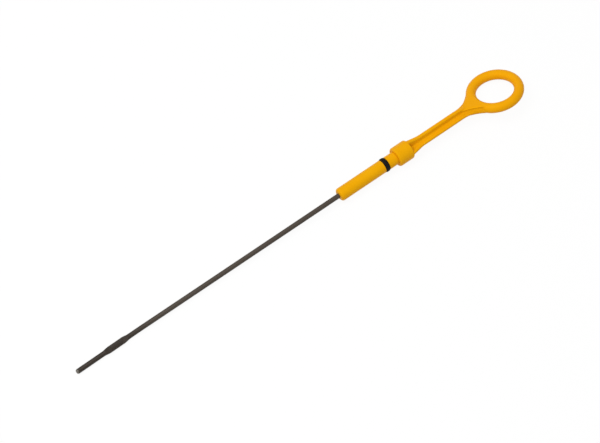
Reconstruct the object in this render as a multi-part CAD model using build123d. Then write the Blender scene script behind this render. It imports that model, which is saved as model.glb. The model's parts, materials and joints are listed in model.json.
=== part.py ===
"""Engine oil dipstick: a moulded pull handle, its rubber sealing ring and a steel gauge rod.

Each piece is drawn along X, with the collar's seat face at x = 0, the rod's tip at negative x and the
finger ring at positive x, lying in the XY plane. Millimetres and degrees.
"""

import math
import os

from build123d import *

# Gauge rod
rod_diameter = 3.6
rod_reach = 274.6
rod_tip_round = 1.3
rod_end_cover = 3.0
bend_height = 52.0
bend_angle = 0.9

# Flats swaged into the rod: the oil level zone near the tip and the hidden anchor in the barrel
swage_width = 4.76
swage_thickness = 2.2
swage_run_out = 6.0
swage_die_lip = 0.25
gauge_height = 33.0
gauge_flat_length = 10.4
gauge_roll = 43.0
anchor_flat_length = 6.0
anchor_tail = 3.0

# Plug barrel and stop collar
barrel_diameter = 9.8
barrel_length = 50.5
barrel_end_round = 1.9
collar_diameter = 14.7
collar_length = 12.5
collar_seat_round = 1.4
collar_top_round = 1.2

# Sealing ring and its groove
seal_width = 3.6
seal_thickness = 2.0
seal_outer_round = 1.2
seal_inner_round = 0.5
groove_centre = 9.6
groove_side_clearance = 0.15
groove_floor_diameter = 6.7

# Cross-shaped stem
rib_span = 10.2
rib_thickness = 2.3
crest_thickness = 3.0
rib_root_round = 1.6
rib_rim_round = 0.9
flare_length = 9.2
flare_step = 0.2
flare_round = 20.0
stem_overlap = 1.0

# Finger ring and the fork that joins it to the stem
ring_centre = 92.0
ring_mean_diameter = 35.2
ring_section_diameter = 7.35
fork_round = 21.0
fork_sink = 0.2
arm_round = 36.0
arm_sink = 0.1
arm_groove_lift = 0.05
arm_groove_inset = 0.3
crest_length = 14.0
crest_sink = 0.3
crest_stop = 6.0

rod_radius = rod_diameter / 2
barrel_radius = barrel_diameter / 2
collar_radius = collar_diameter / 2
groove_floor_radius = groove_floor_diameter / 2
groove_width = seal_width + 2 * groove_side_clearance
groove_start = -groove_centre - groove_width / 2
rod_end = groove_start - rod_end_cover
ring_mean_radius = ring_mean_diameter / 2
ring_section_radius = ring_section_diameter / 2
arm_radius = ring_section_radius - arm_sink
rib_reach = rib_span / 2
long_arm = 2 * (ring_mean_radius + ring_section_radius)
rim_tolerance = 0.01
settling_steps = 20
flare_start = collar_length + flare_length
flare_reach = collar_radius - flare_step
flare_angle = math.atan2(flare_reach - rib_reach, flare_length)
flare_trim = flare_round * math.tan(flare_angle / 2)
flare_end = flare_start + flare_trim


def ease(start, end):
    """Two equal arcs that leave the start and reach the end along X."""
    middle = ((start[0] + end[0]) / 2, (start[1] + end[1]) / 2)
    first = TangentArc(start, middle, tangent=(1, 0))
    return first + TangentArc(middle, end, tangent=first % 1)


def mirrored_face(half):
    """Face between a curve that starts and ends on the X axis and its mirror image."""
    return make_face((half + mirror(half, about=Plane.XZ)).edges())


def swage_line(middle, flat_length, side, pressed):
    """Line along a swage, from the plain rod's side to the pressed height and back."""
    low = middle - flat_length / 2
    high = middle + flat_length / 2
    rise = ease((low - swage_run_out, side), (low, pressed))
    fall = ease((high, pressed), (high + swage_run_out, side))
    return rise + Line((low, pressed), (high, pressed)) + fall


def swage_dies(middle, flat_length, roll):
    """The two dies that press a flat: what they fill is taken out of the rod."""
    lip = rod_radius + swage_die_lip
    back = swage_width / 2 + swage_die_lip
    reach = flat_length / 2 + swage_run_out
    line = swage_line(0, flat_length, lip, swage_thickness / 2)
    body = Polyline((reach, lip), (reach, back), (-reach, back), (-reach, lip))
    upper = extrude(Plane.XZ * make_face((line + body).edges()), amount=swage_width, both=True)
    return Pos(middle, 0, 0) * Rot(roll, 0, 0) * (upper + mirror(upper, about=Plane.XY))


def straight_rod():
    """Round rod with a domed tip, widened and flattened at its two swages."""
    gauge_middle = gauge_height - rod_reach
    anchor_middle = rod_end - anchor_tail - swage_run_out - anchor_flat_length / 2
    gauge_half = gauge_flat_length / 2 + swage_run_out
    anchor_half = anchor_flat_length / 2 + swage_run_out
    tip = Polyline((-rod_reach, 0), (-rod_reach, rod_radius - rod_tip_round))
    dome_end = (rod_tip_round - rod_reach, rod_radius)
    dome = TangentArc(tip @ 1, dome_end, tangent=(0, 1))
    outline = tip + dome + Line(dome_end, (gauge_middle - gauge_half, rod_radius))
    outline += swage_line(gauge_middle, gauge_flat_length, rod_radius, swage_width / 2)
    outline += Line((gauge_middle + gauge_half, rod_radius), (anchor_middle - anchor_half, rod_radius))
    outline += swage_line(anchor_middle, anchor_flat_length, rod_radius, swage_width / 2)
    tail = [(anchor_middle + anchor_half, rod_radius), (rod_end, rod_radius), (rod_end, 0), (-rod_reach, 0)]
    outline += Polyline(*tail)
    turned = revolve(make_face(outline.edges()), axis=Axis.X)
    gauge_dies = swage_dies(gauge_middle, gauge_flat_length, gauge_roll)
    anchor_dies = swage_dies(anchor_middle, anchor_flat_length, gauge_roll)
    return turned - gauge_dies - anchor_dies


def bend_turn():
    """Turn of the rod's lower end about the bend, towards negative Y."""
    bend = Pos(bend_height - rod_reach, 0, 0)
    return bend * Rot(0, 0, bend_angle) * bend.inverse()


def gauge_rod():
    """The rod with its lower end set slightly out of line, as pressing the gauge flats leaves it."""
    rod = straight_rod()
    half_turn = math.radians(bend_angle / 2)
    facing = (math.cos(half_turn), math.sin(half_turn), 0)
    mitre = Plane(origin=(bend_height - rod_reach, 0, 0), z_dir=facing)
    upper = split(rod, bisect_by=mitre, keep=Keep.TOP)
    return upper + split(bend_turn() * rod, bisect_by=mitre, keep=Keep.BOTTOM)


def plug():
    """Turned part of the handle: the barrel with its seal groove, and the stop collar."""
    groove_end = groove_start + groove_width
    profile = make_face(
        Polyline(
            (-barrel_length, 0),
            (-barrel_length, barrel_radius),
            (groove_start, barrel_radius),
            (groove_start, groove_floor_radius),
            (groove_end, groove_floor_radius),
            (groove_end, barrel_radius),
            (0, barrel_radius),
            (0, collar_radius),
            (collar_length, collar_radius),
            (collar_length, 0),
            close=True,
        ).edges()
    )
    rounds = [
        ((-barrel_length, barrel_radius), barrel_end_round),
        ((0, collar_radius), collar_seat_round),
        ((collar_length, collar_radius), collar_top_round),
    ]
    for corner, radius in rounds:
        profile = fillet(profile.vertices().sort_by_distance(corner)[0], radius)
    return revolve(profile, axis=Axis.X)


def flare():
    """Rib edge above the collar: a taper that a large round leads into the straight rib."""
    start_x = collar_length - stem_overlap
    start_y = flare_reach + stem_overlap * math.tan(flare_angle)
    round_low = (
        flare_start - flare_trim * math.cos(flare_angle),
        rib_reach + flare_trim * math.sin(flare_angle),
    )
    taper = Line((start_x, start_y), round_low)
    return taper + TangentArc((flare_end, rib_reach), round_low, tangent=(-1, 0))


def round_into_ring(side, round_radius, circle_radius):
    """Centre of the arc that leads from a line along X at a side to a circle about the ring's centre."""
    round_y = side + round_radius
    return ring_centre - math.sqrt((circle_radius + round_radius) ** 2 - round_y**2), round_y


def fork_edge():
    """Edge of the ribs in the ring's plane, spreading in an arc until it meets the ring."""
    web_radius = ring_mean_radius + ring_section_radius - fork_sink
    round_x, round_y = round_into_ring(rib_reach, fork_round, web_radius)
    aim = math.atan2(round_y, round_x - ring_centre)
    on_ring = (ring_centre + web_radius * math.cos(aim), web_radius * math.sin(aim))
    straight = Line((flare_end, rib_reach), (round_x, rib_reach))
    return flare() + straight + TangentArc(straight @ 1, on_ring, tangent=(1, 0))


def crest_edge():
    """Edge of the ribs across the ring's plane, sinking below the top of the fork."""
    crest_end = ring_centre - ring_mean_radius - crest_stop
    crest_start = crest_end - crest_length
    sunk = ring_section_radius - crest_sink
    straight = Line((flare_end, rib_reach), (crest_start, rib_reach))
    return flare() + straight + ease((crest_start, rib_reach), (crest_end, sunk))


def rib_plate(edge, inner_corner):
    """Tall block that a rib edge and its mirror image bound, from the collar into the ring's section."""
    ends = edge.vertices().sort_by(Axis.X)
    collar_end = ends[0]
    ring_end = ends[-1]
    root = Line((collar_end.X, 0), (collar_end.X, collar_end.Y))
    inside = Polyline((ring_end.X, ring_end.Y), inner_corner, (ring_centre - ring_mean_radius, 0))
    return extrude(mirrored_face(edge + root + inside), amount=long_arm, both=True)


def rims(ribs, edge):
    """Sharp rims that follow a rib edge or its mirror image."""

    def on_rim(rim):
        middle = rim @ 0.5
        lies_on_edge = edge.distance_to(Vertex(middle.X, abs(middle.Y), 0)) < rim_tolerance
        return lies_on_edge and abs((rim % 0.5).X) > rim_tolerance

    return ribs.edges().filter_by(on_rim)


def arm_round_centre():
    """Centre of the arc that an arm's outer side follows, from the crest's flank to the outside of the ring."""
    return round_into_ring(crest_thickness / 2, arm_round, ring_mean_radius + ring_section_radius)


def fork_grooves():
    """Grooves along the arms' four flanks, where the stem's valleys run out towards the ring."""
    round_x, round_y = arm_round_centre()
    height = rib_thickness / 2 + rib_root_round + arm_groove_lift
    start = Pos(round_x, round_y - arm_round - arm_groove_inset, height)
    section = start * (Plane.YZ * Circle(rib_root_round))
    groove = revolve(section, axis=Axis((round_x, round_y, 0), (0, 0, 1)), revolution_arc=90)
    grooves = [groove, mirror(groove, about=Plane.XY)]
    return grooves + [mirror(side, about=Plane.XZ) for side in grooves]


def fork_arm():
    """One side of the fork: the ring's rounded flank led off in an arc until it dies into the crest."""
    round_x, round_y = arm_round_centre()
    turn = math.degrees(math.atan2(ring_centre - round_x, round_y))
    palm = Polyline((-ring_section_diameter, 0), (-ring_section_diameter, arm_radius), (0, arm_radius))
    flank = TangentArc((0, arm_radius), (arm_radius, 0), tangent=(1, 0))
    section = Plane.YZ * mirrored_face(palm + flank)
    start = Pos(round_x, round_y - arm_round - ring_section_radius, 0)
    arm = revolve(start * section, axis=Axis((round_x, round_y, 0), (0, 0, 1)), revolution_arc=turn)
    arm -= Pos(ring_centre, 0, 0) * Cylinder(ring_mean_radius, long_arm)
    return split(arm, bisect_by=Plane.XZ, keep=Keep.BOTTOM)


def stem():
    """Four ribs in a cross with rounded roots, cut to their edges in both planes, and the fork's arms."""
    cross = Rectangle(long_arm, rib_thickness) + Rectangle(crest_thickness, long_arm)
    roots = cross.vertices().sort_by_distance((0, 0))[:4]
    bar = extrude(Plane.YZ * fillet(roots, rib_root_round), amount=ring_centre)
    plan = rib_plate(fork_edge(), (ring_centre - ring_mean_radius, rib_reach))
    lift = Rot(90, 0, 0)
    crest = rib_plate(crest_edge(), (ring_centre - ring_mean_radius, ring_section_radius - crest_sink))
    ribs = bar & plan & (lift * crest)
    ribs = lift * fillet(rims(lift.inverse() * ribs, crest_edge()), rib_rim_round)
    ribs = fillet(rims(ribs, fork_edge()), rib_rim_round)
    arm = fork_arm()
    arms = arm + mirror(arm, about=Plane.XZ) - fork_grooves()
    return ribs + arms


def finger_ring():
    """Ring of round section for one finger."""
    return Pos(ring_centre, 0, 0) * Torus(ring_mean_radius, ring_section_radius)


def handle(rod):
    """One moulding: plug, stem and finger ring, moulded round the end of the rod."""
    return plug() + stem() + finger_ring() - rod


def seal():
    """Rubber ring that sits on the groove's floor, with a well rounded outside."""
    middle_radius = groove_floor_radius + seal_thickness / 2
    section = Pos(-groove_centre, middle_radius) * Rectangle(seal_width, seal_thickness)
    corners = section.vertices().group_by(Axis.Y)
    section = fillet(corners[-1], seal_outer_round)
    section = fillet(section.vertices().group_by(Axis.Y)[0], seal_inner_round)
    return revolve(section, axis=Axis.X)


def lowest_point(place, circle_radius, tube_radius, down):
    """Furthest point, in a direction, of a rounded rim: a tube round a circle about a place's Z axis."""
    turn_axis = Plane(place).z_dir
    outward = (down - turn_axis * down.dot(turn_axis)).normalized()
    return place.position + outward * circle_radius + down * tube_radius


def floor():
    """Plane that the rod's tip, the collar's rim and the ring's positive Y side all touch."""
    tip_place = bend_turn() * Pos(rod_tip_round - rod_reach, 0, 0) * Rot(0, 90, 0)
    collar_place = Pos(collar_seat_round, 0, 0) * Rot(0, 90, 0)
    down = Vector(0, ring_section_radius, -ring_mean_radius).normalized()
    for _ in range(settling_steps):
        tip = lowest_point(tip_place, rod_radius - rod_tip_round, rod_tip_round, down)
        rim = lowest_point(collar_place, collar_radius - collar_seat_round, collar_seat_round, down)
        side = lowest_point(Pos(ring_centre, 0, 0), ring_mean_radius, ring_section_radius, down)
        down = (side - tip).cross(rim - tip).normalized()
    return Plane(origin=rim, x_dir=(1, 0, 0), z_dir=-down)


def placed(pieces):
    """Pieces at rest, with the middle of the whole part's underside at the origin."""
    lay_down = floor().location.inverse()
    turned = {name: lay_down * piece for name, piece in pieces.items()}
    box = Compound(list(turned.values())).bounding_box()
    middle = box.center()
    shift = Pos(-middle.X, -middle.Y, -box.min.Z)
    return {name: shift * piece for name, piece in turned.items()}


rod = gauge_rod()
pieces = placed({"handle": handle(rod), "seal_ring": seal(), "gauge_rod": rod})
os.makedirs("parts", exist_ok=True)
for name, piece in pieces.items():
    export_step(piece, f"parts/{name}.step")
    box = piece.bounding_box()
    print(name, f"{piece.volume:.1f} mm3", box.min, box.max)
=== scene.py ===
# %% [markdown]
# # An engine oil dipstick
# The real object is three pieces: a yellow plastic handle moulded round the end of a dark steel rod, and
# a black rubber ring in a groove of the handle's barrel. They could be modelled again here as meshes, but
# their shapes are already solid models, and two copies of one shape soon differ. So this lesson loads the
# solids as a fixed frame and gives them what a solid model lacks: a finish for each material, the pressed
# diamonds of the level zone, light and a camera.

# %% Load the solids and keep their box
import json
import math

import bpy
import numpy as np
from mathutils import Matrix, Vector


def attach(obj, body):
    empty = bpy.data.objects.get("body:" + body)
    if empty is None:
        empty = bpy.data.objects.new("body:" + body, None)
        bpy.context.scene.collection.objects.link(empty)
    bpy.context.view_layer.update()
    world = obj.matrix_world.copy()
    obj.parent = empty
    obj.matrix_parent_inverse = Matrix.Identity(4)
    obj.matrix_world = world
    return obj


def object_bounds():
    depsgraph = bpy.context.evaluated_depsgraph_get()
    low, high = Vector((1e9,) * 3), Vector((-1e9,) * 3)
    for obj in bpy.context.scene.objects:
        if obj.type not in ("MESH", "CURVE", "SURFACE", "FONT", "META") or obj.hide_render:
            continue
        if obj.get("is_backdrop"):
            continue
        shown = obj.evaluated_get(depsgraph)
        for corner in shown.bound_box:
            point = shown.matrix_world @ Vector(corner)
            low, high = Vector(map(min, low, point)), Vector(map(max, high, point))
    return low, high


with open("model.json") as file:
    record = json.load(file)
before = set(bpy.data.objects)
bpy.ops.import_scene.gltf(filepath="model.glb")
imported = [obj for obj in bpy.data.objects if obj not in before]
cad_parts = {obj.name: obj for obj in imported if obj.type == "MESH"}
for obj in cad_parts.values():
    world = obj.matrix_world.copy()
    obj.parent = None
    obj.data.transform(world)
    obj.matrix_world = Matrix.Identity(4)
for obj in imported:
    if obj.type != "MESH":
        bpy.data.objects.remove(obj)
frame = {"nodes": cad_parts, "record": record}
solid_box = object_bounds()


def rounded(values, digits):
    """Numbers cut short for printing."""
    return [round(value, digits) for value in values]


print("Solids:", sorted(frame["nodes"]))
print("Box from", rounded(solid_box[0], 4), "to", rounded(solid_box[1], 4))

# %% [markdown]
# ## The stick's own axes
# The dipstick lies on the floor, tipped up by its collar and rolled to one side, so the world's axes run
# across it at odd angles. Marks such as the drawn grain follow the stick, not the world. Its axes could
# be typed in as angles, but measured ones still fit when the solids change. The long axis is the barrel's
# axis, which the record gives. The second direction comes from the finger ring: the points of a flat ring
# spread least across its own plane, and a singular value decomposition finds that direction.

# %% Long axis and seat
mounts = {mount["name"]: mount for mount in frame["record"]["mounts"]}
stick_axis = -Vector(mounts["plug_barrel"]["axis"]).normalized()
barrel_point = Vector(mounts["plug_barrel"]["pos_m"])
seat_point = Vector(mounts["collar_seat"]["pos_m"])
seat_centre = barrel_point + stick_axis * (seat_point - barrel_point).dot(stick_axis)
print("Seat centre", rounded(seat_centre, 4), "long axis", rounded(stick_axis, 3))

# %% Side and up
MILLIMETRE = 0.001
OUTER_HALF_STARTS = 95 * MILLIMETRE


def corner_points(node):
    """All corners of a solid's mesh."""
    return np.array([corner.co for corner in frame["nodes"][node].data.vertices])


def heights_on_stick(points):
    """How far points lie from the collar's seat, along the stick."""
    return (points - np.array(seat_centre)) @ np.array(stick_axis)


handle_points = corner_points("handle")
outer_half = handle_points[heights_on_stick(handle_points) > OUTER_HALF_STARTS]
spread = np.linalg.svd(outer_half - outer_half.mean(axis=0), full_matrices=False)[2]
ring_normal = Vector(spread[2]) * math.copysign(1, spread[2][2])
stick_side = ring_normal.cross(stick_axis).normalized()
stick_up = stick_axis.cross(stick_side)
stick_frame = Matrix((stick_axis, stick_side, stick_up)).transposed()
roll = math.degrees(math.atan2(stick_side.z, stick_up.z))
print("Rolled by", round(roll, 2), "degrees")

# %% [markdown]
# ## Helpers for node materials
# Every finish here is a small graph of nodes. It could be drawn by hand in the Shader Editor, but a
# script repeats it exactly and can use what was measured. A few helpers keep the graphs readable: they
# add a node and fill or link its inputs by name, do sums, blend colours and stretch a range of values.
# One more gives a point's place on the stick in millimetres from the collar's seat. A Mapping node of
# type Texture undoes a turn and a shift, which is just what is needed to go from the world's axes to the
# stick's.

# %% Add and link nodes
def plug_in(tree, socket, value):
    """Links an output to a socket, or types a plain value into it."""
    if isinstance(value, bpy.types.NodeSocket):
        tree.links.new(value, socket)
    else:
        socket.default_value = value


def add(tree, kind, settings=None, **inputs):
    """Adds a node. An input's name has underscores for its spaces."""
    node = tree.nodes.new("ShaderNode" + kind)
    for name, value in (settings or {}).items():
        setattr(node, name, value)
    for name, value in inputs.items():
        plug_in(tree, node.inputs[name.replace("_", " ")], value)
    return node


print("Nodes can be added")

# %% Sums, ranges, blends and noise
def sums(tree, operation, *values):
    """One Math node."""
    node = tree.nodes.new("ShaderNodeMath")
    node.operation = operation
    for socket, value in zip(node.inputs, values):
        plug_in(tree, socket, value)
    return node.outputs[0]


def spread_to(tree, value, low, high, new_low=0.0, new_high=1.0):
    """Stretches the range from low to high over a new one, and stops at its ends."""
    node = add(tree, "MapRange", Value=value, From_Min=low, From_Max=high, To_Min=new_low, To_Max=new_high)
    return node.outputs["Result"]


def blend_colours(tree, share, first, second):
    """The first colour, giving way to the second as the share grows to 1."""
    node = tree.nodes.new("ShaderNodeMix")
    node.data_type = "RGBA"
    for index, value in ((0, share), (6, first), (7, second)):
        plug_in(tree, node.inputs[index], value)
    return node.outputs[2]


def noise(tree, place, **inputs):
    """Soft random patches, finer as the scale grows."""
    return add(tree, "TexNoise", Vector=place, **inputs).outputs["Fac"]


print("Values and colours can be worked out")

# %% Places on the stick, and finishes
def place_on_stick(tree):
    """A point's place in millimetres from the collar's seat: along the stick, to its side and up."""
    turned = add(
        tree,
        "Mapping",
        {"vector_type": "TEXTURE"},
        Vector=add(tree, "TexCoord").outputs["Object"],
        Location=seat_centre,
        Rotation=stick_frame.to_euler(),
        Scale=(MILLIMETRE,) * 3,
    )
    return turned.outputs["Vector"]


def new_finish(name):
    """A new material, its node tree and its shader."""
    material = bpy.data.materials.new(name)
    material.use_nodes = True
    tree = material.node_tree
    return material, tree, tree.nodes["Principled BSDF"]


def wear(piece, material):
    """Gives a piece its one material."""
    piece.data.materials.clear()
    piece.data.materials.append(material)
    print(piece.name, "wears", material.name)


print("Finishes can be made")

# %% [markdown]
# ## Yellow moulded plastic
# The handle is one injection moulding in a strong warm yellow. The colour drifts a little with the flow
# in the mould: it is slightly greener on the barrel and warmer on the ring. It could be painted on an
# unwrapped image, but noise needs no unwrapping and keeps its scale on every side, so the yellow is
# blended from noise and from the place on the stick.

# %% Plastic colour
BARREL_YELLOWS = ((0.93, 0.42, 0.0015, 1), (0.955, 0.45, 0.003, 1))
RING_YELLOWS = ((0.975, 0.415, 0.0015, 1), (0.99, 0.44, 0.003, 1))
SEAT_TO_RING = (0.0, 65.0)
FLOW_RANGE = (0.35, 0.65)

plastic, tree, skin = new_finish("moulded_yellow_plastic")
place = place_on_stick(tree)
place_parts = add(tree, "SeparateXYZ", Vector=place).outputs
along = place_parts["X"]
flow = noise(tree, place, Scale=0.11, Detail=3.0, Roughness=0.55)
cloud = spread_to(tree, flow, *FLOW_RANGE)
barrel_yellow = blend_colours(tree, cloud, *BARREL_YELLOWS)
ring_yellow = blend_colours(tree, cloud, *RING_YELLOWS)
yellow = blend_colours(tree, spread_to(tree, along, *SEAT_TO_RING), barrel_yellow, ring_yellow)
print("Yellow from", BARREL_YELLOWS[0][:3], "to", RING_YELLOWS[1][:3])

# %% [markdown]
# ## Painted shade in the hollows
# Shade is painted into the hollows: the yellow is darker in the corners at both ends of the collar, and in
# the coves of the fork beside the ring. Each could be masked by hand, but an Ambient Occlusion node finds
# hollows by feeling for walls within a few millimetres. A cove is shallower than a corner, so past the stem
# the painted shade starts at a slighter hollow.

# %% Paint shade into the hollows
FEELER_REACH = 5 * MILLIMETRE
CORNER_OPENNESS = (0.8, 0.6)
COVE_OPENNESS = (0.95, 0.87)
STEM_TO_FORK = (57.0, 66.0)
PAINTED_SHADE_YELLOW = (0.8, 0.355, 0.002, 1)

feeler = add(tree, "AmbientOcclusion", {"samples": 16, "only_local": True}, Distance=FEELER_REACH)
openness = feeler.outputs["AO"]
corner = spread_to(tree, openness, *CORNER_OPENNESS)
cove = spread_to(tree, openness, *COVE_OPENNESS)
at_fork = spread_to(tree, along, *STEM_TO_FORK)
# Painted shade: the yellow is darkened in corners and in the fork's coves.
painted_shade = sums(tree, "MAXIMUM", corner, sums(tree, "MULTIPLY", cove, at_fork))
yellow = blend_colours(tree, painted_shade, yellow, PAINTED_SHADE_YELLOW)
print("Painted shade within", FEELER_REACH / MILLIMETRE, "mm of a wall")

# %% [markdown]
# ## The plastic's skin
# The skin is satin and hardly mirrors anything, because it copies the spark-eroded steel of its mould: a
# grain of a few tenths of a millimetre. Larger and softer are the slow waves where thick plastic sank as
# it cooled, and a fine line shows where the two halves of the mould met. All this could be geometry, but
# it is only hundredths of a millimetre high and changes no outline, so a Bump node, which tilts the
# shading, is enough.

# %% Mould line, gloss and grain
NOISE_RANGE = (0.3, 0.7)
MOULD_LINE_FADES = (0.03, 0.12)
MOULD_LINE_YELLOW = (0.6, 0.23, 0.002, 1)
MOULD_LINE_SHARE = 0.12
PLASTIC_ROUGHNESS = (0.4, 0.52)
PLASTIC_SPECULAR = 0.15
PLASTIC_SPECULAR_TINT = (1.0, 0.7, 0.12, 1)
SINK_HEIGHT = 3.0
MOULD_LINE_HEIGHT = 1.2

off_line = sums(tree, "ABSOLUTE", place_parts["Z"])
mould_line = spread_to(tree, off_line, *MOULD_LINE_FADES, 1.0, 0.0)
line_share = sums(tree, "MULTIPLY", mould_line, MOULD_LINE_SHARE)
plug_in(tree, skin.inputs["Base Color"], blend_colours(tree, line_share, yellow, MOULD_LINE_YELLOW))
grain = noise(tree, place, Scale=3.2, Detail=2.0, Roughness=0.6)
plug_in(tree, skin.inputs["Roughness"], spread_to(tree, grain, *NOISE_RANGE, *PLASTIC_ROUGHNESS))
skin.inputs["Specular IOR Level"].default_value = PLASTIC_SPECULAR
skin.inputs["Specular Tint"].default_value = PLASTIC_SPECULAR_TINT
sink = noise(tree, place, Scale=0.22, Detail=1.0)
relief = sums(tree, "MULTIPLY_ADD", sink, SINK_HEIGHT, grain)
relief = sums(tree, "MULTIPLY_ADD", mould_line, MOULD_LINE_HEIGHT, relief)
bump = add(tree, "Bump", Strength=0.2, Distance=0.03 * MILLIMETRE, Height=relief)
plug_in(tree, skin.inputs["Normal"], bump.outputs["Normal"])
wear(frame["nodes"]["handle"], plastic)

# %% [markdown]
# ## Dark phosphated steel
# The rod is drawn wire with a dark brown-grey phosphate coat: matt and slightly mottled, with faint
# streaks that run along it from the drawing die. A picture of steel could be wrapped round it, but its
# seam would show. Here one noise is stretched along the stick for the streaks and another is left round
# for the mottling.

# %% Steel coat
COAT_BROWNS = ((0.056, 0.0425, 0.031, 1), (0.078, 0.061, 0.0465, 1))
STREAK_GREY = (0.096, 0.079, 0.064, 1)
STREAK_RANGE = (0.35, 0.75)
STREAK_SHARE = 0.35
STREAK_STRETCH = (0.03, 1.0, 1.0)

steel, tree, skin = new_finish("phosphated_steel")
place = place_on_stick(tree)
stretched = add(tree, "Mapping", Vector=place, Scale=STREAK_STRETCH).outputs["Vector"]
streaks = noise(tree, stretched, Scale=2.6, Detail=3.0, Roughness=0.6)
mottle = noise(tree, place, Scale=0.9, Detail=4.0, Roughness=0.65)
coat = blend_colours(tree, spread_to(tree, mottle, *NOISE_RANGE), *COAT_BROWNS)
streaked = spread_to(tree, streaks, *STREAK_RANGE, 0.0, STREAK_SHARE)
coat = blend_colours(tree, streaked, coat, STREAK_GREY)
print("Coat from", COAT_BROWNS[0][:3], "to", COAT_BROWNS[1][:3])

# %% [markdown]
# ## Oil stain and paler tip
# The rod's lower end has stood in oil and is stained darker, and over the last two millimetres of the tip
# the coat fades to a paler, more metallic grey. Separate materials could be given to these stretches, but
# they would meet at hard edges. Both marks depend only on the distance from the tip, so a range of that
# distance fades them in.

# %% Stain, paler tip and skin of the steel
STAIN_FADES = (44.0, 66.0)
STAIN_BROWN = (0.024, 0.016, 0.0105, 1)
STAIN_SHARE = 0.75
PALE_TIP_FADES = (1.9, 0.5)
PALE_TIP_GREY = (0.5, 0.47, 0.42, 1)
PALE_TIP_SHARE = 0.38
COAT_METALLIC = 0.2
PALE_TIP_METALLIC = 0.6
COAT_ROUGHNESS = (0.42, 0.58)
STEEL_SPECULAR = 0.3

rod_tip = heights_on_stick(corner_points("gauge_rod")).min() / MILLIMETRE
along = add(tree, "SeparateXYZ", Vector=place).outputs["X"]
stained = spread_to(tree, along, rod_tip + STAIN_FADES[0], rod_tip + STAIN_FADES[1], STAIN_SHARE, 0.0)
coat = blend_colours(tree, stained, coat, STAIN_BROWN)
# The tip's last millimetres fade to a paler, more metallic grey.
paler_tip = spread_to(tree, along, rod_tip + PALE_TIP_FADES[0], rod_tip + PALE_TIP_FADES[1], 0.0, PALE_TIP_SHARE)
plug_in(tree, skin.inputs["Base Color"], blend_colours(tree, paler_tip, coat, PALE_TIP_GREY))
plug_in(tree, skin.inputs["Metallic"], spread_to(tree, paler_tip, 0.0, PALE_TIP_SHARE, COAT_METALLIC, PALE_TIP_METALLIC))
plug_in(tree, skin.inputs["Roughness"], spread_to(tree, mottle, *NOISE_RANGE, *COAT_ROUGHNESS))
skin.inputs["Specular IOR Level"].default_value = STEEL_SPECULAR
relief = sums(tree, "ADD", streaks, mottle)
bump = add(tree, "Bump", Strength=0.4, Distance=0.02 * MILLIMETRE, Height=relief)
plug_in(tree, skin.inputs["Normal"], bump.outputs["Normal"])
wear(frame["nodes"]["gauge_rod"], steel)
print("Rod tip", round(rod_tip, 1), "mm from the seat")

# %% [markdown]
# ## The flats of the level zone
# The rod is swaged flat where the oil is read, and the next step lays diamonds on both flats. Their place
# could be worked out from the rod's sizes, but measured from its mesh it is right whatever the rod's bend
# and roll. Near the middle of the zone nearly all of the surface faces the two ways that the flats face.
# A flat is one rectangle in the mesh, so the mean of its corners is its middle, and its long way is the
# direction in which they spread most.

# %% Find the way that the flats face
LEVEL_MIDDLE_FROM_TIP = 33.0
LEVEL_REACH = 8 * MILLIMETRE

rod_mesh = frame["nodes"]["gauge_rod"].data
level_point = seat_centre + stick_axis * (rod_tip + LEVEL_MIDDLE_FROM_TIP) * MILLIMETRE
near_level = [f for f in rod_mesh.polygons if abs((f.center - level_point).dot(stick_axis)) < LEVEL_REACH]
facing = sum(f.area * np.outer(f.normal, f.normal) for f in near_level)
flat_normal = Vector(np.linalg.eigh(facing)[1][:, 2])
print("Flats face", rounded(flat_normal, 2), "and the other way")

# %% Measure the flats
SAME_WAY = 0.9999


def measure_flat(normal):
    """A flat's middle, its directions along, across and out, and its half length and half width."""
    faces = [f for f in near_level if f.normal.dot(normal) > SAME_WAY]
    corners = {index for f in faces for index in f.vertices}
    points = np.array([rod_mesh.vertices[index].co for index in corners])
    middle = points.mean(axis=0)
    lengthways = Vector(np.linalg.svd(points - middle, full_matrices=False)[2][0])
    lengthways *= math.copysign(1, lengthways.dot(stick_axis))
    across = normal.cross(lengthways)
    reach = [np.ptp(points @ np.array(way)) / 2 for way in (lengthways, across)]
    return Vector(middle), lengthways, across, normal, reach


flats = [measure_flat(flat_normal), measure_flat(-flat_normal)]
for *_, reach in flats:
    print("Flat of", rounded((2 * half / MILLIMETRE for half in reach), 2), "mm")

# %% [markdown]
# ## Pressed diamonds
# The flats are marked by a toothed die that presses two sets of slanting grooves across each other. What
# stays between the grooves is a field of low diamonds that hold a film of oil. A bump map would fake them
# only in the shading, so each diamond is real: a flat-topped pyramid a few hundredths of a millimetre
# high with its foot sunk in the flat. All of them together are one mesh.

# %% Places of the diamonds
DIAMOND_LENGTH = 1.7 * MILLIMETRE
DIAMOND_WIDTH = 1.04 * MILLIMETRE


def diamond_places(half_length, half_width):
    """Middles of the diamonds that fit on a flat, each row shifted by half a diamond."""
    columns = int(2 * half_length / DIAMOND_LENGTH)
    rows = int(2 * half_width / DIAMOND_WIDTH)
    for column in range(-columns, columns + 1):
        for row in range(-rows, rows + 1):
            u = column * DIAMOND_LENGTH / 2
            w = row * DIAMOND_WIDTH / 2
            fits_along = abs(u) + DIAMOND_LENGTH / 2 < half_length
            fits_across = abs(w) + DIAMOND_WIDTH / 2 < half_width
            if (column + row) % 2 == 0 and fits_along and fits_across:
                yield u, w


print("Diamonds on each flat:", [len(list(diamond_places(*reach))) for *_, reach in flats])

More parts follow.
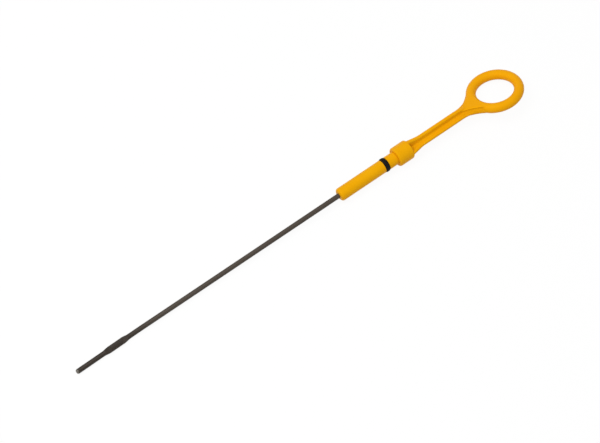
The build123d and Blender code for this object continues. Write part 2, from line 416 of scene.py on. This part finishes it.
# %% Lay the diamonds
DIAMOND_HEIGHT = 0.08 * MILLIMETRE
DIAMOND_SUNK = 0.03 * MILLIMETRE
FOOT_SHARE = 0.84
TOP_SHARE = 0.62
LAYERS = ((FOOT_SHARE, -DIAMOND_SUNK), (TOP_SHARE, DIAMOND_HEIGHT))
DIAMOND_CORNERS = ((0.5, 0.0), (0.0, 0.5), (-0.5, 0.0), (0.0, -0.5))
FOOT = (3, 2, 1, 0)
TOP = (4, 5, 6, 7)
FLANKS = [(i, (i + 1) % 4, 4 + (i + 1) % 4, 4 + i) for i in range(4)]

points = []
faces = []
for middle, lengthways, across, normal, reach in flats:
    for u, w in diamond_places(*reach):
        first = len(points)
        for share, height in LAYERS:
            for end, side in DIAMOND_CORNERS:
                shift = lengthways * (u + end * share * DIAMOND_LENGTH)
                shift += across * (w + side * share * DIAMOND_WIDTH)
                points.append(middle + shift + normal * height)
        faces += [[first + index for index in face] for face in (FOOT, TOP, *FLANKS)]

hatch_mesh = bpy.data.meshes.new("level_hatch")
hatch_mesh.from_pydata(points, [], faces)
level_hatch = bpy.data.objects.new("level_hatch", hatch_mesh)
bpy.context.scene.collection.objects.link(level_hatch)
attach(level_hatch, "root")
print("Diamonds:", len(points) // 8)

# %% [markdown]
# ## Rubbed steel and painted light on the diamonds
# The diamonds stand proud of the stained flat, so the cloth that wipes the stick rubs them paler in
# scuffs. The scuffs are also painted paler towards one side of the stick and fade out towards the other:
# painted light and shade. The rod's own finish could be used again, but then the pattern would hardly
# show. So they get a steel of their own, which fades across the stick and is broken up by scuffs.

# %% Diamond finish
PAINTED_LIGHT_FADES = (-1.6, 1.2)
DIAMOND_DARK_BROWN = (0.026, 0.019, 0.0135, 1)
SCUFFED_AND_LIT_GREY = (0.11, 0.097, 0.085, 1)
SCUFF_RANGE = (0.3, 0.65)
SCUFF_SHARES = (0.4, 1.0)
SCUFF_ROUGHNESS = (0.5, 0.4)

rubbed_and_painted_light_steel, tree, skin = new_finish("rubbed_and_painted_light_steel")
place = place_on_stick(tree)
aside = add(tree, "SeparateXYZ", Vector=place).outputs["Y"]
scuffs = noise(tree, place, Scale=1.4, Detail=3.0, Roughness=0.6)
# Painted light and shade: across the stick the diamonds fade from dark on one side to pale on the other.
painted_light_side = spread_to(tree, aside, *PAINTED_LIGHT_FADES)
scuffs_and_painted_light = sums(tree, "MULTIPLY", painted_light_side, spread_to(tree, scuffs, *SCUFF_RANGE, *SCUFF_SHARES))
plug_in(tree, skin.inputs["Base Color"], blend_colours(tree, scuffs_and_painted_light, DIAMOND_DARK_BROWN, SCUFFED_AND_LIT_GREY))
plug_in(tree, skin.inputs["Roughness"], spread_to(tree, scuffs, *NOISE_RANGE, *SCUFF_ROUGHNESS))
skin.inputs["Metallic"].default_value = COAT_METALLIC
skin.inputs["Specular IOR Level"].default_value = STEEL_SPECULAR
wear(level_hatch, rubbed_and_painted_light_steel)

# %% [markdown]
# ## Black rubber
# The sealing ring is soft black rubber. It could be one flat black, but rubber isn't pure black: a thin
# bloom of wax greys it in patches, and its skin scatters what it reflects. One noise gives the bloom,
# both as colour and as roughness, and a finer one gives the pores.

# %% Rubber finish
BLOOM_RANGE = (0.45, 0.8)
RUBBER_BLACKS = ((0.004, 0.0038, 0.0032, 1), (0.009, 0.0088, 0.008, 1))
RUBBER_ROUGHNESS = (0.5, 0.65)
RUBBER_SPECULAR = 0.12

rubber, tree, skin = new_finish("black_seal_rubber")
place = place_on_stick(tree)
bloom = noise(tree, place, Scale=0.8, Detail=4.0, Roughness=0.6)
pores = noise(tree, place, Scale=5.0, Detail=2.0)
black = blend_colours(tree, spread_to(tree, bloom, *BLOOM_RANGE), *RUBBER_BLACKS)
plug_in(tree, skin.inputs["Base Color"], black)
plug_in(tree, skin.inputs["Roughness"], spread_to(tree, bloom, *NOISE_RANGE, *RUBBER_ROUGHNESS))
skin.inputs["Specular IOR Level"].default_value = RUBBER_SPECULAR
bump = add(tree, "Bump", Strength=0.3, Distance=0.03 * MILLIMETRE, Height=pores)
plug_in(tree, skin.inputs["Normal"], bump.outputs["Normal"])
wear(frame["nodes"]["seal_ring"], rubber)

# %% [markdown]
# ## A white floor
# The photograph is a plain catalogue picture: white all round and nearly without shadow. More light would
# make the floor white, but it would bleach the yellow too. So the floor is white only where the camera
# looks at it, and lights the stick as much as a pale floor would: a Light Path node tells camera rays,
# and rays mirrored by the object, from the rays that carry light.

# %% Floor
FLOOR_HALF = 4.0
FLOOR_CORNERS = [(FLOOR_HALF * x, FLOOR_HALF * y, 0) for x, y in ((-1, -1), (1, -1), (1, 1), (-1, 1))]


def seen_directly(tree):
    """1 for rays from the camera, mirrored or not, and 0 for rays that carry light."""
    path = add(tree, "LightPath")
    seen = sums(tree, "MAXIMUM", path.outputs["Is Camera Ray"], path.outputs["Is Glossy Ray"])
    return sums(tree, "MAXIMUM", seen, path.outputs["Is Transmission Ray"])


floor_mesh = bpy.data.meshes.new("white_floor")
floor_mesh.from_pydata(FLOOR_CORNERS, [], [(0, 1, 2, 3)])
floor = bpy.data.objects.new("white_floor", floor_mesh)
bpy.context.scene.collection.objects.link(floor)
floor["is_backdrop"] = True
print("Floor of", 2 * FLOOR_HALF, "m")

# %% White paper
PAPER_GREYS = ((0.68, 0.68, 0.68, 1), (0.72, 0.72, 0.72, 1))
PAPER_GLOW = 1.04
GLOW_SHARE = 0.9

paper = bpy.data.materials.new("white_paper")
paper.use_nodes = True
tree = paper.node_tree
tree.nodes.clear()
fibre = add(tree, "TexNoise", Scale=900.0, Detail=2.0).outputs["Fac"]
matt = add(tree, "BsdfDiffuse", Color=blend_colours(tree, fibre, *PAPER_GREYS))
glow = add(tree, "Emission", Strength=PAPER_GLOW)
mixed = add(tree, "MixShader", Fac=sums(tree, "MULTIPLY", seen_directly(tree), GLOW_SHARE))
tree.links.new(matt.outputs["BSDF"], mixed.inputs[1])
tree.links.new(glow.outputs["Emission"], mixed.inputs[2])
add(tree, "OutputMaterial", Surface=mixed.outputs["Shader"])
wear(floor, paper)

# %% [markdown]
# ## Soft studio light
# Catalogue pictures are lit by large soft boxes in a pale room. Several lamps could be set round the
# stick, but each would add its own shadow and highlight. One wide lamp overhead and an even world give
# the same soft shading, at a level at which a colour renders about as it is written.

# %% World
WORLD_LIGHT = 0.57

world = bpy.data.worlds.new("studio")
bpy.context.scene.world = world
world.use_nodes = True
tree = world.node_tree
tree.nodes.clear()
brightness = spread_to(tree, seen_directly(tree), 0.0, 1.0, WORLD_LIGHT, 1.0)
sky = add(tree, "Background", Strength=brightness)
add(tree, "OutputWorld", Surface=sky.outputs["Background"])
print("World lights at", WORLD_LIGHT)

# %% Softbox
SOFTBOX_SIZE = (1.0, 0.8)
SOFTBOX_WATTS = 8.2
SOFTBOX_PLACE = Vector((-0.35, 0.1, 1.1))

lamp_data = bpy.data.lights.new("softbox", "AREA")
lamp_data.shape = "RECTANGLE"
lamp_data.size, lamp_data.size_y = SOFTBOX_SIZE
lamp_data.energy = SOFTBOX_WATTS
softbox = bpy.data.objects.new("softbox", lamp_data)
softbox.location = SOFTBOX_PLACE
softbox.rotation_euler = (-SOFTBOX_PLACE).to_track_quat("-Z", "Y").to_euler()
bpy.context.scene.collection.objects.link(softbox)
print("Softbox of", SOFTBOX_WATTS, "W at", rounded(SOFTBOX_PLACE, 2))

# %% [markdown]
# ## The camera
# The photograph looks down on the stick from the rod's side with a long lens, so the rod hardly tapers.
# The camera could be placed by three coordinates and three angles. It is easier to follow as an azimuth,
# an elevation and a distance from an aim point near the middle of the stick, kept upright as on a tripod.

# %% Camera
PICTURE_WIDTH = 600
FOCAL_PIXELS = 2115.0
METRES_PER_PIXEL = 0.0007
SENSOR_WIDTH = 36.0
AIM = Vector((-0.00415, 0.000063, 0.005572))
AZIMUTH = math.radians(-127.125)
ELEVATION = math.radians(60.142)

ground_share = math.cos(ELEVATION)
backward = Vector((ground_share * math.cos(AZIMUTH), ground_share * math.sin(AZIMUTH), math.sin(ELEVATION)))
camera_data = bpy.data.cameras.new("camera")
camera_data.sensor_width = SENSOR_WIDTH
camera_data.lens = SENSOR_WIDTH * FOCAL_PIXELS / PICTURE_WIDTH
camera = bpy.data.objects.new("camera", camera_data)
camera.location = AIM + backward * FOCAL_PIXELS * METRES_PER_PIXEL
camera.rotation_euler = (-backward).to_track_quat("-Z", "Y").to_euler()
bpy.context.scene.collection.objects.link(camera)
bpy.context.scene.camera = camera
bpy.context.scene.view_settings.view_transform = "Standard"
print("Lens", round(camera_data.lens, 1), "mm at", rounded(camera.location, 3))

# %% [markdown]
# ## Sizes
# The dressed stick's box is printed here, and its solids' box near the top, so that the two can be
# compared.

# %% Finish
dressed_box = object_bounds()
print("Dressed box from", rounded(dressed_box[0], 4), "to", rounded(dressed_box[1], 4))
